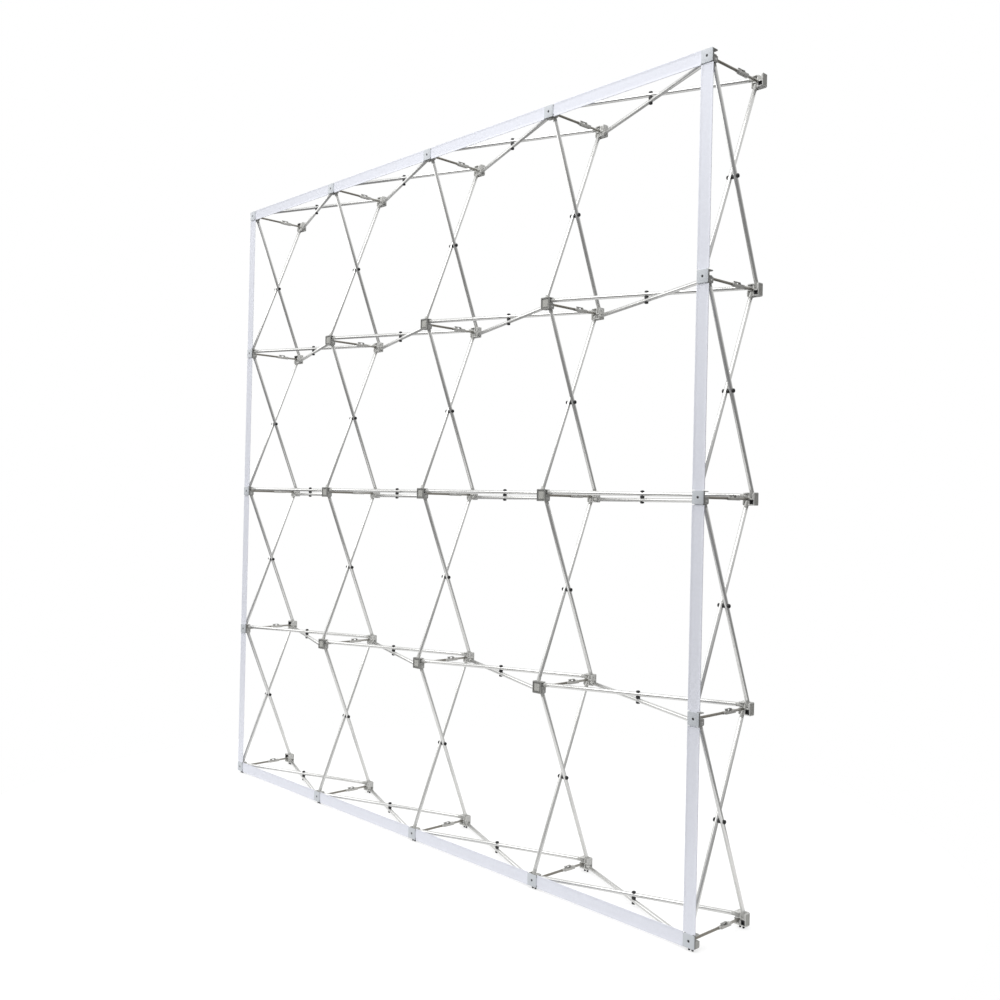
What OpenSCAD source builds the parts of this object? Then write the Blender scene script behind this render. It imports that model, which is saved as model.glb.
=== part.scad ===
// Pop up display backwall: a straight folding frame of crossing bars, opened out.
// +X is the width, -Y is the front face, +Z is up. The origin is on the floor, centred.

/* [Lattice] */
// Distance between neighbouring hub centres, across and up
pitch = 735; // [500:5:900]
// Depth of the open frame, between the outer faces of front and rear hub plates
frame_depth = 316; // [290:1:380]

/* [Bars] */
// Outside diameter of the aluminium bars
bar_d = 15.5; // [13:0.5:17]
// Wall thickness of the bars
bar_wall = 1; // [0.8:0.1:2]
// Gap between two crossing bars, which the spacer fills
bar_gap = 6; // [5:0.5:9]
// Distance from the hub rivet to the end of the tube
fitting_reach = 22; // [18:1:35]
// Length of the fitting's plug inside the tube
plug_len = 24; // [12:1:40]

/* [Hubs] */
// Side of the square hub plate
hub_side = 46; // [46:1:56]
// Thickness of the hub plate
hub_plate_t = 4; // [3:0.5:6]
// Depth of the whole hub, plate and ears together
hub_deep = 28; // [26:1:36]
// Depth of the walls between the bar slots, plate included
hub_wall_deep = 22; // [20:1:26]
// Corner radius of the hub plate
hub_corner = 3; // [1:0.5:5]
// Thickness of each outer ear
ear_t = 3; // [2.5:0.5:4]
// Distance of each hub rivet from the hub's centre line
rivet_out = 13; // [13:0.5:16]
// Distance of each hub rivet behind the face of the hub plate
rivet_back = 16; // [14:0.5:18]
// Diameter of the hub rivets
rivet_d = 4; // [3:0.5:5]
// Diameter of a hub rivet's head
rivet_head_d = 8; // [6:0.5:9]
// Thickness of a hub rivet's head
rivet_head_t = 1.2; // [0.8:0.1:1.2]
// Side of the shallow recess in the hub's face
recess_side = 36; // [24:1:38]
// Depth of the recess in the hub's face
recess_deep = 1.6; // [0.6:0.1:1.6]
// Thickness of the pad in the recess of an inner hub
pad_t = 1.2; // [0.4:0.1:1.4]
// Side of the pad in the recess of an inner hub
pad_side = 28; // [20:1:36]

/* [End caps] */
// Thickness of the plate that closes the outer side of a rear hub
end_cap_t = 2; // [1.6:0.1:3]
// Corner radius of an end cap's plate
end_cap_corner = 4; // [2:0.5:6]
// Length of the hub slot left open in front of an end cap's plug
end_plug_back = 2; // [1:0.5:6]
// Width of the rim round the pad on an end cap
end_pad_rim = 3.5; // [2:0.5:6]
// Thickness of the pad on an end cap
end_pad_t = 0.9; // [0.4:0.1:1]

/* [Centre pivots] */
// Diameter of the pivot rivets
pivot_d = 5; // [3:0.5:6]
// Diameter of a pivot rivet's head
pivot_head_d = 8.5; // [7:0.5:10]
// Thickness of a pivot rivet's head
pivot_head_t = 1.2; // [0.8:0.1:2]
// Diameter of the spacer between two crossing bars
spacer_d = 16; // [12:0.5:20]
// Diameter of the caps outside the bars
cap_d = 15; // [11:0.5:18]
// Thickness of a cap beyond the bar
cap_t = 5; // [3:0.5:8]
// Depth to which spacers and caps wrap round the bars
saddle_deep = 1.5; // [1:0.25:2.5]

/* [Lock struts] */
// Diameter of the lock rods
rod_d = 9.5; // [8:0.5:9.5]
// Depth of a lock rod's socket in its hub
rod_socket = 18; // [12:1:18]
// Distance from the front hub's face to the catch pin
catch_back = 186; // [150:1:200]
// Diameter of the sleeve of the catch
sleeve_d = 12; // [12:0.5:16]
// Length of the catch's sleeve
sleeve_len = 10; // [8:1:20]
// Width of the lever's hook
hook_w = 5; // [3:0.5:5]
// Height of the catch's fork
fork_h = 9; // [9:0.5:12]
// Diameter of the catch pin and the lever's pivot pin
latch_pin_d = 4; // [3:0.5:4]
// Distance from the catch pin to the lever's pivot
hook_reach = 28; // [26:1:36]
// Height of the lever's pivot above the rod's centre line
lever_up = 2.5; // [2:0.5:3.5]
// Inside width of the latch housing
housing_bore = 10; // [10:0.5:12]
// Wall thickness of the latch housing
housing_wall = 1.5; // [1.5:0.5:3]
// Length of the closed block at the rear of the latch housing
housing_block = 13; // [12:1:22]
// Height of the lever's arch above its pivot
arch_up = 10; // [6.5:0.5:12]
// Length of the lever's finger lip
lip_len = 4; // [2:0.5:6]

/* [Edge bands] */
// Width of the edge bands
band_w = 50; // [40:1:60]
// Thickness of the edge bands
band_t = 2; // [1:0.25:3]
// Width of the tongue at each band end
tongue_w = 28; // [16:1:28]
// Length of tongue under the clamp plate
tongue_grip = 8; // [4:0.5:8]
// Thickness of the clamp plates
clamp_t = 3; // [2.5:0.5:5]
// Diameter of the clamp screws
screw_d = 5; // [3:0.5:6]
// Diameter of a clamp screw's head
screw_head_d = 9; // [8:0.5:11]
// Depth of the recess for a clamp screw's head
screw_recess = 1.8; // [1.4:0.1:2]

/* [Feet] */
// Diameter of the rubber foot studs
foot_d = 8; // [6:0.5:10]
// Height of the foot studs below the hub
foot_h = 13; // [6:0.5:18]
// Distance between the two studs under a hub
foot_spread = 14; // [12:0.5:20]

/* [Hidden] */
$fn = 48;
bays = 4;
cut = 1;                    // how far a cutting shape runs past the surface that it opens
fit = 0.05;                 // clearance per side of pins, plugs and rods
slot_play = 0.25;           // clearance per side between a bar and its hub slot
hook_play = 0.3;            // clearance between the lever's hook and the catch
plug_play = 1.3;            // clearance between an end cap's plug and the hub's boss
pad_play = 0.1;             // clearance per side between an end cap's recess and its pad
pad_corner = 1;             // corner radius of the pads and of the recesses in hubs and end caps

// Lattice: each row of bars lies in a plane, and a column is a row turned about Y
half_span = bays * pitch / 2;
bar_off = (bar_d + bar_gap) / 2;
run_x = pitch - 2 * rivet_out;
run_y = frame_depth - 2 * rivet_back;
bar_len = sqrt(run_x * run_x + run_y * run_y);
bar_angle = atan2(run_y, run_x);
cap_face = bar_off + bar_d / 2 + cap_t;

// Hub: four slots set round the centre like a pinwheel
slot_in = bar_off - bar_d / 2 - slot_play;
slot_out = bar_off + bar_d / 2 + slot_play;
ear_out = slot_out + ear_t;
hub_half = hub_side / 2;
boss_r = rod_d / 2 + 1.15;
socket_floor = hub_deep - rod_socket;

// End cap: its plate lies on the side of the hub, over the neighbouring ear and its rivet head
end_cap_in = max(hub_half, ear_out + rivet_head_t + fit);
end_cap_out = end_cap_in + end_cap_t;
plug_start = boss_r + plug_play;
end_recess_floor = end_cap_out - end_pad_t - pad_play;

// Height of the hub rows above the floor
row_base = ear_out + foot_h;
mid_height = row_base + half_span;

// The studs stand just clear of the heads of the lowest rivets
stud_clear = (foot_d + rivet_head_d) / 2 + 0.3;
stud_aside = rivet_out - foot_spread / 2;
foot_back = rivet_back - sqrt(max(0, stud_clear * stud_clear - stud_aside * stud_aside));

// Face of the edge bands and of the clamp plates, in front of the hub plate
band_front = -band_t;
clamp_front = band_front - clamp_t;
band_start = max(hub_half, band_w / 2) + 0.5;
y_shift = -(frame_depth + clamp_front) / 2;

// Lock strut
fork_half = housing_bore / 2 - 0.2;
fork_slot = hook_w / 2 + 0.2;
fork_back = catch_back + latch_pin_d / 2 + 4;
fork_front = catch_back - latch_pin_d / 2 - 10;
fork_bridge = 3;
lever_y = catch_back + hook_reach;
barrel_r = 4;
housing_floor = -fork_h / 2 - 0.5;
housing_low = housing_floor - housing_wall;
housing_top = rod_d / 2 + 1.25;
cheek_up = lever_up + latch_pin_d / 2 + 1.5;
housing_front = fork_front + 2;
block_front = lever_y + barrel_r + 1.5;
housing_back = block_front + housing_block;
rod_seat = 12;
lever_w = housing_bore - 0.6;
arch_t = 2.8;
mouth_top = -lever_up + latch_pin_d / 2 + hook_play;
mouth_front = -hook_reach - latch_pin_d / 2 - hook_play;
mouth_back = -hook_reach + latch_pin_d / 2 + hook_play;
nose_t = 3.8;
nose_low = -lever_up - 2.5;
heel_t = 3;
leg_lean = 1;
leg_t = 3;

// ---- places ----

// Height of a row of hubs, row 1 at the top
function row_z(row) = mid_height + half_span - (row - 1) * pitch;
// Place of a column of hubs, column 1 at the left
function column_x(column) = -half_span + (column - 1) * pitch;
function on_edge(row, column) = row == 1 || row == bays + 1 || column == 1 || column == bays + 1;

module at_front(row, column) {
  translate([column_x(column), y_shift, row_z(row)]) children();
}

module at_rear(row, column) {
  translate([column_x(column), y_shift + frame_depth, row_z(row)]) rotate([0, 0, 180]) children();
}

module each_hub_pair() {
  for (row = [1 : bays + 1], column = [1 : bays + 1]) at_front(row, column) children();
}

// The outer side of each rear hub in the first and the last column, with +X outwards
module each_rear_end() {
  for (row = [1 : bays + 1]) {
    at_rear(row, 1) children();
    at_rear(row, bays + 1) rotate([0, 180, 0]) children();
  }
}

// The children stand in a row's own plane: its middle at the origin, hub plates facing -Y
module in_row(row) {
  translate([0, y_shift, row_z(row)]) children();
}

// A column is a row turned about Y, so its left end comes to the top
module in_column(column) {
  translate([column_x(column), y_shift, mid_height]) rotate([0, 90, 0]) children();
}

module in_every_row_and_column() {
  for (line = [1 : bays + 1]) {
    in_row(line) children();
    in_column(line) children();
  }
}

// Both bars of a bay's crossing pair. Child frame: X along the bar from its front rivet, Z along
// the rivets.
module along_bars(bay) {
  left = -half_span + (bay - 1) * pitch;
  translate([left + rivet_out, rivet_back, bar_off]) rotate([0, 0, bar_angle]) children();
  translate([left + pitch - rivet_out, rivet_back, -bar_off]) rotate([0, 0, 180 - bar_angle]) children();
}

module at_crossings() {
  for (bay = [1 : bays])
    translate([-half_span + (bay - 0.5) * pitch, frame_depth / 2, 0]) children();
}

// ---- shared shapes ----

// Rectangle with rounded corners, centred
module rounded_outline(width, height, corner) {
  union() {
    square([width, height - 2 * corner], center = true);
    square([width - 2 * corner, height], center = true);
    for (sx = [-1, 1], sy = [-1, 1])
      translate([sx * (width / 2 - corner), sy * (height / 2 - corner)]) circle(r = corner);
  }
}

// Square plate with rounded corners, its back face on the plane y = back
module square_plate(side, thick, corner, back) {
  translate([0, back, 0]) rotate([90, 0, 0])
    linear_extrude(thick) rounded_outline(side, side, corner);
}

// Cylinder along Y from y = from to y = to
module rod_y(d, from, to) {
  translate([0, from, 0]) rotate([-90, 0, 0]) cylinder(d = d, h = to - from);
}

// Cylinder along X, centred
module rod_x(d, len) {
  rotate([0, 90, 0]) cylinder(d = d, h = len, center = true);
}

// ---- hubs ----

module hub_rivet_hole() {
  translate([rivet_out, rivet_back, -slot_in - cut])
    cylinder(d = rivet_d + 2 * fit, h = slot_in + ear_out + 2 * cut);
}

// One quarter of the hub: the right-hand slot's inner wall and its outer ear
module hub_quarter() {
  translate([0, 0, -slot_in]) cube([hub_half, hub_wall_deep, 2 * slot_in]);
  translate([0, 0, slot_out]) cube([hub_half, hub_deep, ear_t]);
}

// Bottom web that closes the lowest slot of a hub that stands on the floor
module foot_web() {
  translate([0, 0, -ear_out]) cube([ear_out, hub_deep, ear_t]);
}

module foot_stem_holes() {
  for (side = [-1, 1])
    translate([side * foot_spread / 2, foot_back, -ear_out - cut])
      cylinder(d = foot_d / 2 + 2 * fit, h = ear_t + cut);
}

module hub(standing) {
  difference() {
    union() {
      square_plate(hub_side, hub_plate_t, hub_corner, hub_plate_t);
      rod_y(2 * boss_r, hub_plate_t - 1, hub_deep);
      for (turn = [0 : 90 : 270]) rotate([0, turn, 0]) hub_quarter();
      if (standing) foot_web();
    }
    square_plate(recess_side, recess_deep + cut, pad_corner, recess_deep);
    rod_y(screw_d + 2 * fit, 0, socket_floor + cut);
    rod_y(rod_d + 2 * fit, socket_floor, hub_deep + cut);
    for (turn = [0 : 90 : 270]) rotate([0, turn, 0]) hub_rivet_hole();
    if (standing) foot_stem_holes();
  }
}

module front_hubs(row) {
  color([0.55, 0.55, 0.52])
    for (column = [1 : bays + 1]) at_front(row, column) hub(row == bays + 1);
}

module rear_hubs(row) {
  color([0.78, 0.78, 0.76])
    for (column = [1 : bays + 1]) at_rear(row, column) hub(row == bays + 1);
}

// ---- end caps ----

// Plate as large as a hub's side less the rim, from x = from to x = to
module end_plate(rim, corner, from, to) {
  translate([from, hub_deep / 2, 0]) rotate([0, 90, 0])
    linear_extrude(to - from) rounded_outline(hub_side - 2 * rim, hub_deep - 2 * rim, corner);
}

// Cap on the outer side of a rear hub: the plate has a plug in the hub's empty slot, where a hub
// rivet holds it, and a recess for its pad
module end_cap() {
  difference() {
    union() {
      end_plate(0, end_cap_corner, end_cap_in, end_cap_out);
      translate([plug_start, hub_plate_t, slot_in + slot_play])
        cube([end_cap_in + cut - plug_start, hub_deep - end_plug_back - hub_plate_t, bar_d]);
    }
    end_plate(end_pad_rim, pad_corner, end_recess_floor, end_cap_out + cut);
    hub_rivet_hole();
  }
}

module end_caps() {
  color([0.2, 0.2, 0.2]) each_rear_end() end_cap();
}

module end_pad() {
  end_plate(end_pad_rim + pad_play, pad_corner, end_recess_floor, end_recess_floor + end_pad_t);
}

// ---- bars ----

module bar_tube() {
  difference() {
    translate([fitting_reach, 0, 0]) rotate([0, 90, 0])
      cylinder(d = bar_d, h = bar_len - 2 * fitting_reach);
    translate([fitting_reach - cut, 0, 0]) rotate([0, 90, 0])
      cylinder(d = bar_d - 2 * bar_wall, h = bar_len - 2 * fitting_reach + 2 * cut);
    translate([bar_len / 2, 0, 0]) cylinder(d = pivot_d + 2 * fit, h = 2 * bar_d, center = true);
  }
}

module horizontal_bars(row) {
  color([0.78, 0.78, 0.8]) in_row(row) for (bay = [1 : bays]) along_bars(bay) bar_tube();
}

module vertical_bars(column) {
  color([0.78, 0.78, 0.8]) in_column(column) for (bay = [1 : bays]) along_bars(bay) bar_tube();
}

// Moulded end of a bar: a rounded head on the hub rivet and a plug inside the tube
module end_fitting() {
  head_d = bar_d - 0.1;
  difference() {
    union() {
      intersection() {
        translate([-bar_d, 0, 0]) rotate([0, 90, 0]) cylinder(d = head_d, h = bar_d + fitting_reach);
        union() {
          cylinder(d = head_d, h = 2 * bar_d, center = true);
          translate([0, -bar_d, -bar_d]) cube([fitting_reach, 2 * bar_d, 2 * bar_d]);
        }
      }
      translate([fitting_reach - cut, 0, 0]) rotate([0, 90, 0])
        cylinder(d = bar_d - 2 * bar_wall - 2 * fit, h = plug_len + cut);
    }
    cylinder(d = rivet_d + 2 * fit, h = 2 * bar_d, center = true);
  }
}

module bar_end_fittings() {
  color([0.6, 0.6, 0.59])
    in_every_row_and_column() for (bay = [1 : bays]) along_bars(bay) {
      end_fitting();
      translate([bar_len, 0, 0]) rotate([0, 0, 180]) end_fitting();
    }
}

// ---- rivets and washers ----

// Hub rivet at a bar's end: flush in the hub's inner wall, its head on the outer ear
module hub_rivet() {
  translate([rivet_out, rivet_back, -slot_in]) cylinder(d = rivet_d, h = slot_in + ear_out);
  translate([rivet_out, rivet_back, ear_out]) cylinder(d = rivet_head_d, h = rivet_head_t);
}

// True where a hub has a bar or an end cap in the slot that the given turn brings to its right
function slot_used(row, column, turn, rear) =
  turn == 0 ? rear || column <= bays :
  turn == 90 ? row <= bays :
  turn == 180 ? rear || column > 1 :
  row > 1;

module hub_rivets() {
  color([0.7, 0.7, 0.7])
    for (row = [1 : bays + 1], column = [1 : bays + 1], turn = [0 : 90 : 270]) {
      if (slot_used(row, column, turn, false)) at_front(row, column) rotate([0, turn, 0]) hub_rivet();
      if (slot_used(row, column, turn, true)) at_rear(row, column) rotate([0, turn, 0]) hub_rivet();
    }
}

module pivot_rivets() {
  color([0.25, 0.25, 0.25])
    in_every_row_and_column() at_crossings() union() {
      cylinder(d = pivot_d, h = 2 * cap_face, center = true);
      for (side = [0, 180]) rotate([side, 0, 0])
        translate([0, 0, cap_face]) cylinder(d = pivot_head_d, h = pivot_head_t);
    }
}

// The two bars of a crossing pair, as they cut their saddles
module crossing_bars() {
  for (side = [-1, 1])
    translate([0, 0, side * bar_off]) rotate([0, 0, side * bar_angle])
      rod_x(bar_d + 2 * fit, 3 * bar_d);
}

module pivot_spacer() {
  difference() {
    cylinder(d = spacer_d, h = bar_gap + 2 * saddle_deep, center = true);
    crossing_bars();
    cylinder(d = pivot_d + 2 * fit, h = 2 * bar_d, center = true);
  }
}

// Cap outside one bar, with a chamfered rim
module pivot_cap() {
  low = bar_off + bar_d / 2 - saddle_deep;
  chamfer = 1;
  difference() {
    union() {
      translate([0, 0, low]) cylinder(d = cap_d, h = cap_face - chamfer - low);
      translate([0, 0, cap_face - chamfer])
        cylinder(d1 = cap_d, d2 = cap_d - 2 * chamfer, h = chamfer);
    }
    translate([0, 0, bar_off]) rotate([0, 0, bar_angle]) rod_x(bar_d + 2 * fit, 3 * bar_d);
    cylinder(d = pivot_d + 2 * fit, h = 2 * cap_face, center = false);
  }
}

module pivot_washers() {
  color([0.1, 0.1, 0.1])
    in_every_row_and_column() at_crossings() {
      pivot_spacer();
      pivot_cap();
      rotate([180, 0, 0]) pivot_cap();
    }
}

// ---- lock struts ----

module front_lock_rods() {
  color([0.3, 0.29, 0.28]) each_hub_pair() rod_y(rod_d, socket_floor, fork_front);
}

module rear_lock_rods() {
  color([0.72, 0.72, 0.74])
    each_hub_pair() rod_y(rod_d, housing_back - rod_seat, frame_depth - socket_floor);
}

// Catch: a sleeve on the front rod and a fork that holds the catch pin
module latch_catch() {
  difference() {
    union() {
      rod_y(sleeve_d, fork_front - sleeve_len, fork_front);
      translate([-fork_half, fork_front, -fork_h / 2]) cube([2 * fork_half, fork_back - fork_front, fork_h]);
    }
    rod_y(rod_d + 2 * fit, fork_front - sleeve_len - cut, fork_front);
    translate([-fork_slot, fork_front + fork_bridge, -fork_h])
      cube([2 * fork_slot, fork_back - fork_front, 2 * fork_h]);
    translate([0, catch_back, 0]) rod_x(latch_pin_d + 2 * fit, 2 * housing_bore);
  }
}

module latch_catches() {
  color([0.2, 0.2, 0.2]) each_hub_pair() latch_catch();
}

// Housing: a channel on the rear rod, closed at its rear end, with low sides under the lever's arch
module latch_housing() {
  outer = housing_bore + 2 * housing_wall;
  cheek_front = lever_y - barrel_r - 1;
  difference() {
    union() {
      translate([-outer / 2, housing_front, housing_low])
        cube([outer, cheek_front - housing_front, latch_pin_d / 2 + 1 - housing_low]);
      translate([-outer / 2, cheek_front, housing_low])
        cube([outer, block_front - cheek_front, cheek_up - housing_low]);
      translate([-outer / 2, block_front, housing_low])
        cube([outer, housing_block, housing_top - housing_low]);
    }
    translate([-housing_bore / 2, housing_front - cut, housing_floor])
      cube([housing_bore, block_front - housing_front + cut, 2 * cheek_up - housing_floor]);
    rod_y(rod_d + 2 * fit, housing_back - rod_seat, housing_back + cut);
    translate([0, lever_y, lever_up]) rod_x(latch_pin_d + 2 * fit, 2 * outer);
  }
}

module latch_housings() {
  color([0.2, 0.2, 0.2]) each_hub_pair() latch_housing();
}

module latch_pins() {
  color([0.7, 0.7, 0.7])
    each_hub_pair() {
      translate([0, catch_back, 0]) rod_x(latch_pin_d, 2 * fork_half);
      translate([0, lever_y, lever_up]) rod_x(latch_pin_d, housing_bore + 2 * housing_wall + 1);
    }
}

// Side view of the lever about its pivot: x is towards the rear hub, y is up
module lever_hook_outline() {
  front = mouth_front - nose_t;
  heel = mouth_back + heel_t;
  rear = -barrel_r - leg_lean;
  polygon([
    [rear, arch_up - arch_t], [heel, arch_up - arch_t], [heel, mouth_top],
    [mouth_back, mouth_top - 1], [mouth_back, mouth_top], [mouth_front, mouth_top],
    [mouth_front, nose_low], [front + 1.2, nose_low], [front, nose_low + 1.6],
    [front, arch_up - 2.2], [front - lip_len, arch_up - 1.2], [front - lip_len, arch_up],
    [rear, arch_up]
  ]);
}

// The barrel round the pivot, with a leg that leans forward so the lever can stand up when open
module lever_barrel_outline() {
  circle(r = barrel_r);
  polygon([
    [-barrel_r, 0], [-barrel_r - leg_lean - leg_t, arch_up - arch_t],
    [-barrel_r - leg_lean - leg_t, arch_up], [-barrel_r - leg_lean, arch_up],
    [0.5, barrel_r], [0.5, 0]
  ]);
}

// Extrudes a side view to a width, with the pivot on the X axis
module lever_slab(width) {
  rotate([90, 0, 90]) translate([0, 0, -width / 2]) linear_extrude(width) children();
}

module latch_lever(row, column) {
  color([0.15, 0.15, 0.15])
    at_front(row, column) translate([0, lever_y, lever_up])
      difference() {
        union() {
          lever_slab(hook_w) lever_hook_outline();
          lever_slab(lever_w) lever_barrel_outline();
        }
        rod_x(latch_pin_d + 2 * fit, 2 * lever_w);
      }
}

// ---- face ----

// Band segment from one perimeter hub to the next, along +X from the first hub's centre
module band_segment() {
  tongue_start = hub_half - tongue_grip;
  translate([band_start, band_front, -band_w / 2]) cube([pitch - 2 * band_start, band_t, band_w]);
  translate([tongue_start, band_front, -tongue_w / 2])
    cube([band_start - tongue_start + cut, band_t, tongue_w]);
  translate([pitch - band_start - cut, band_front, -tongue_w / 2])
    cube([band_start - tongue_start + cut, band_t, tongue_w]);
}

module edge_bands() {
  color([0.93, 0.93, 0.96])
    for (bay = [1 : bays], side = [1, bays + 1]) {
      at_front(side, bay) union() band_segment();
      at_front(bay, side) rotate([0, 90, 0]) union() band_segment();
    }
}

module each_edge_hub() {
  for (row = [1 : bays + 1], column = [1 : bays + 1])
    if (on_edge(row, column)) at_front(row, column) children();
}

module band_clamp_plates() {
  seat_d = 2 * (hub_half - tongue_grip) - 8;
  color([0.86, 0.86, 0.88])
    each_edge_hub() difference() {
      union() {
        square_plate(hub_side, clamp_t, hub_corner, band_front);
        rod_y(seat_d, band_front - 1, recess_deep);
      }
      rod_y(screw_d + 2 * fit, clamp_front - cut, recess_deep + cut);
      rod_y(screw_head_d + 4 * fit, clamp_front - cut, clamp_front + screw_recess);
    }
}

module clamp_screws() {
  head_t = screw_recess - 0.2;
  color([0.6, 0.6, 0.6])
    each_edge_hub() union() {
      rod_y(screw_d, clamp_front + screw_recess - 0.5, socket_floor - 1);
      rod_y(screw_head_d, clamp_front + screw_recess - head_t, clamp_front + screw_recess);
    }
}

module loop_pads() {
  color([0.66, 0.66, 0.64]) {
    for (row = [2 : bays], column = [2 : bays])
      at_front(row, column)
        square_plate(min(pad_side, recess_side - 0.4), pad_t, pad_corner, recess_deep);
    each_rear_end() end_pad();
  }
}

module foot_stud() {
  translate([0, 0, -ear_out]) cylinder(d = foot_d / 2, h = ear_t - 0.2);
  translate([0, 0, -ear_out - foot_h]) cylinder(d = foot_d, h = foot_h);
}

module rubber_feet() {
  color([0.06, 0.06, 0.06])
    for (column = [1 : bays + 1], side = [-1, 1]) {
      at_front(bays + 1, column) translate([side * foot_spread / 2, foot_back, 0]) foot_stud();
      at_rear(bays + 1, column) translate([side * foot_spread / 2, foot_back, 0]) foot_stud();
    }
}

// ---- nodes ----

front_hubs(1);  // front_hubs_row_1
front_hubs(2);  // front_hubs_row_2
front_hubs(3);  // front_hubs_row_3
front_hubs(4);  // front_hubs_row_4
front_hubs(5);  // front_hubs_row_5
rear_hubs(1);  // rear_hubs_row_1
rear_hubs(2);  // rear_hubs_row_2
rear_hubs(3);  // rear_hubs_row_3
rear_hubs(4);  // rear_hubs_row_4
rear_hubs(5);  // rear_hubs_row_5
horizontal_bars(1);  // horizontal_bars_row_1
horizontal_bars(2);  // horizontal_bars_row_2
horizontal_bars(3);  // horizontal_bars_row_3
horizontal_bars(4);  // horizontal_bars_row_4
horizontal_bars(5);  // horizontal_bars_row_5
vertical_bars(1);  // vertical_bars_column_1
vertical_bars(2);  // vertical_bars_column_2
vertical_bars(3);  // vertical_bars_column_3
vertical_bars(4);  // vertical_bars_column_4
vertical_bars(5);  // vertical_bars_column_5
bar_end_fittings();
hub_rivets();
pivot_rivets();
pivot_washers();
front_lock_rods();
rear_lock_rods();
latch_catches();
latch_housings();
latch_pins();
latch_lever(1, 1);  // latch_lever_row_1_column_1
latch_lever(1, 2);  // latch_lever_row_1_column_2
latch_lever(1, 3);  // latch_lever_row_1_column_3
latch_lever(1, 4);  // latch_lever_row_1_column_4
latch_lever(1, 5);  // latch_lever_row_1_column_5
latch_lever(2, 1);  // latch_lever_row_2_column_1
latch_lever(2, 2);  // latch_lever_row_2_column_2
latch_lever(2, 3);  // latch_lever_row_2_column_3
latch_lever(2, 4);  // latch_lever_row_2_column_4
latch_lever(2, 5);  // latch_lever_row_2_column_5
latch_lever(3, 1);  // latch_lever_row_3_column_1
latch_lever(3, 2);  // latch_lever_row_3_column_2
latch_lever(3, 3);  // latch_lever_row_3_column_3
latch_lever(3, 4);  // latch_lever_row_3_column_4
latch_lever(3, 5);  // latch_lever_row_3_column_5
latch_lever(4, 1);  // latch_lever_row_4_column_1
latch_lever(4, 2);  // latch_lever_row_4_column_2
latch_lever(4, 3);  // latch_lever_row_4_column_3
latch_lever(4, 4);  // latch_lever_row_4_column_4
latch_lever(4, 5);  // latch_lever_row_4_column_5
latch_lever(5, 1);  // latch_lever_row_5_column_1
latch_lever(5, 2);  // latch_lever_row_5_column_2
latch_lever(5, 3);  // latch_lever_row_5_column_3
latch_lever(5, 4);  // latch_lever_row_5_column_4
latch_lever(5, 5);  // latch_lever_row_5_column_5
edge_bands();
band_clamp_plates();
clamp_screws();
end_caps();
loop_pads();
rubber_feet();
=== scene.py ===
# Pop up display backwall: the finished looks of a straight folding frame that stands opened out.
# Metres; +X is the width, -Y is the front face, +Z is up, and the origin is on the floor.
import json
from contextlib import contextmanager
from math import atan2, hypot, pi, radians, sqrt, tau

import bmesh
import bpy
from mathutils import Matrix, Vector


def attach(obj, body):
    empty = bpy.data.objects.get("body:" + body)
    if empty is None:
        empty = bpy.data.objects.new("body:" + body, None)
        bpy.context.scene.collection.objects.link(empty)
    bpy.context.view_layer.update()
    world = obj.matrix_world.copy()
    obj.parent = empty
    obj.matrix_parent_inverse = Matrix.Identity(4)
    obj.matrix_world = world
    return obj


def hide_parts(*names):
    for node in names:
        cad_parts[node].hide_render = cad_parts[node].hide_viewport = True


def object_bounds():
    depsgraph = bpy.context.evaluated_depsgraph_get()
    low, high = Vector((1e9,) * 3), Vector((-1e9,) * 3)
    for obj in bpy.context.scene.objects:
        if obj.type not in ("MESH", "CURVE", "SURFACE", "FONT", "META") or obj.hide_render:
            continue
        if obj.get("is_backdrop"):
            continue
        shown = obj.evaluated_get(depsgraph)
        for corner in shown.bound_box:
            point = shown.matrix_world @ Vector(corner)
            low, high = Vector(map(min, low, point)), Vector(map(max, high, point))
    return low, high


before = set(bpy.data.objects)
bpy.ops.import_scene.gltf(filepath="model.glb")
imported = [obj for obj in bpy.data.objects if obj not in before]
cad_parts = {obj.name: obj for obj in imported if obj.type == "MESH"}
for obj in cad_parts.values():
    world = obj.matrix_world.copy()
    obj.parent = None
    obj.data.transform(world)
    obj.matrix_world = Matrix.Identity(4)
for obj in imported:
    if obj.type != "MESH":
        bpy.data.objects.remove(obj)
cad_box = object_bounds()

MM = 0.001

# ---- sizes of the part, with round things by their radius ----
BAYS = 4
LINES = range(1, BAYS + 2)
PITCH = 735 * MM
FRAME_DEPTH = 316 * MM
BAR_R = 7.75 * MM
BAR_WALL = 1 * MM
BAR_GAP = 6 * MM
FITTING_REACH = 22 * MM
PLUG_LEN = 24 * MM
HUB_HALF = 23 * MM
PLATE_T = 4 * MM
HUB_DEEP = 28 * MM
HUB_WALL_DEEP = 22 * MM
HUB_CORNER = 3 * MM
EAR_T = 3 * MM
RIVET_OUT = 13 * MM
RIVET_BACK = 16 * MM
RIVET_R = 2 * MM
RIVET_HEAD_R = 4 * MM
RIVET_HEAD_T = 1.2 * MM
RECESS_HALF = 18 * MM
RECESS_DEEP = 1.6 * MM
PAD_T = 1.2 * MM
PAD_HALF = 14 * MM
PAD_CORNER = 1 * MM
PAD_PLAY = 0.1 * MM
END_CAP_T = 2 * MM
END_CAP_CORNER = 4 * MM
END_PLUG_BACK = 2 * MM
END_PAD_RIM = 3.5 * MM
END_PAD_T = 0.9 * MM
PLUG_PLAY = 1.3 * MM
PIVOT_R = 2.5 * MM
PIVOT_HEAD_R = 4.25 * MM
PIVOT_HEAD_T = 1.2 * MM
SPACER_R = 8 * MM
CAP_R = 7.5 * MM
CAP_T = 5 * MM
SADDLE_DEEP = 1.5 * MM
ROD_R = 4.75 * MM
ROD_SOCKET = 18 * MM
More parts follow.
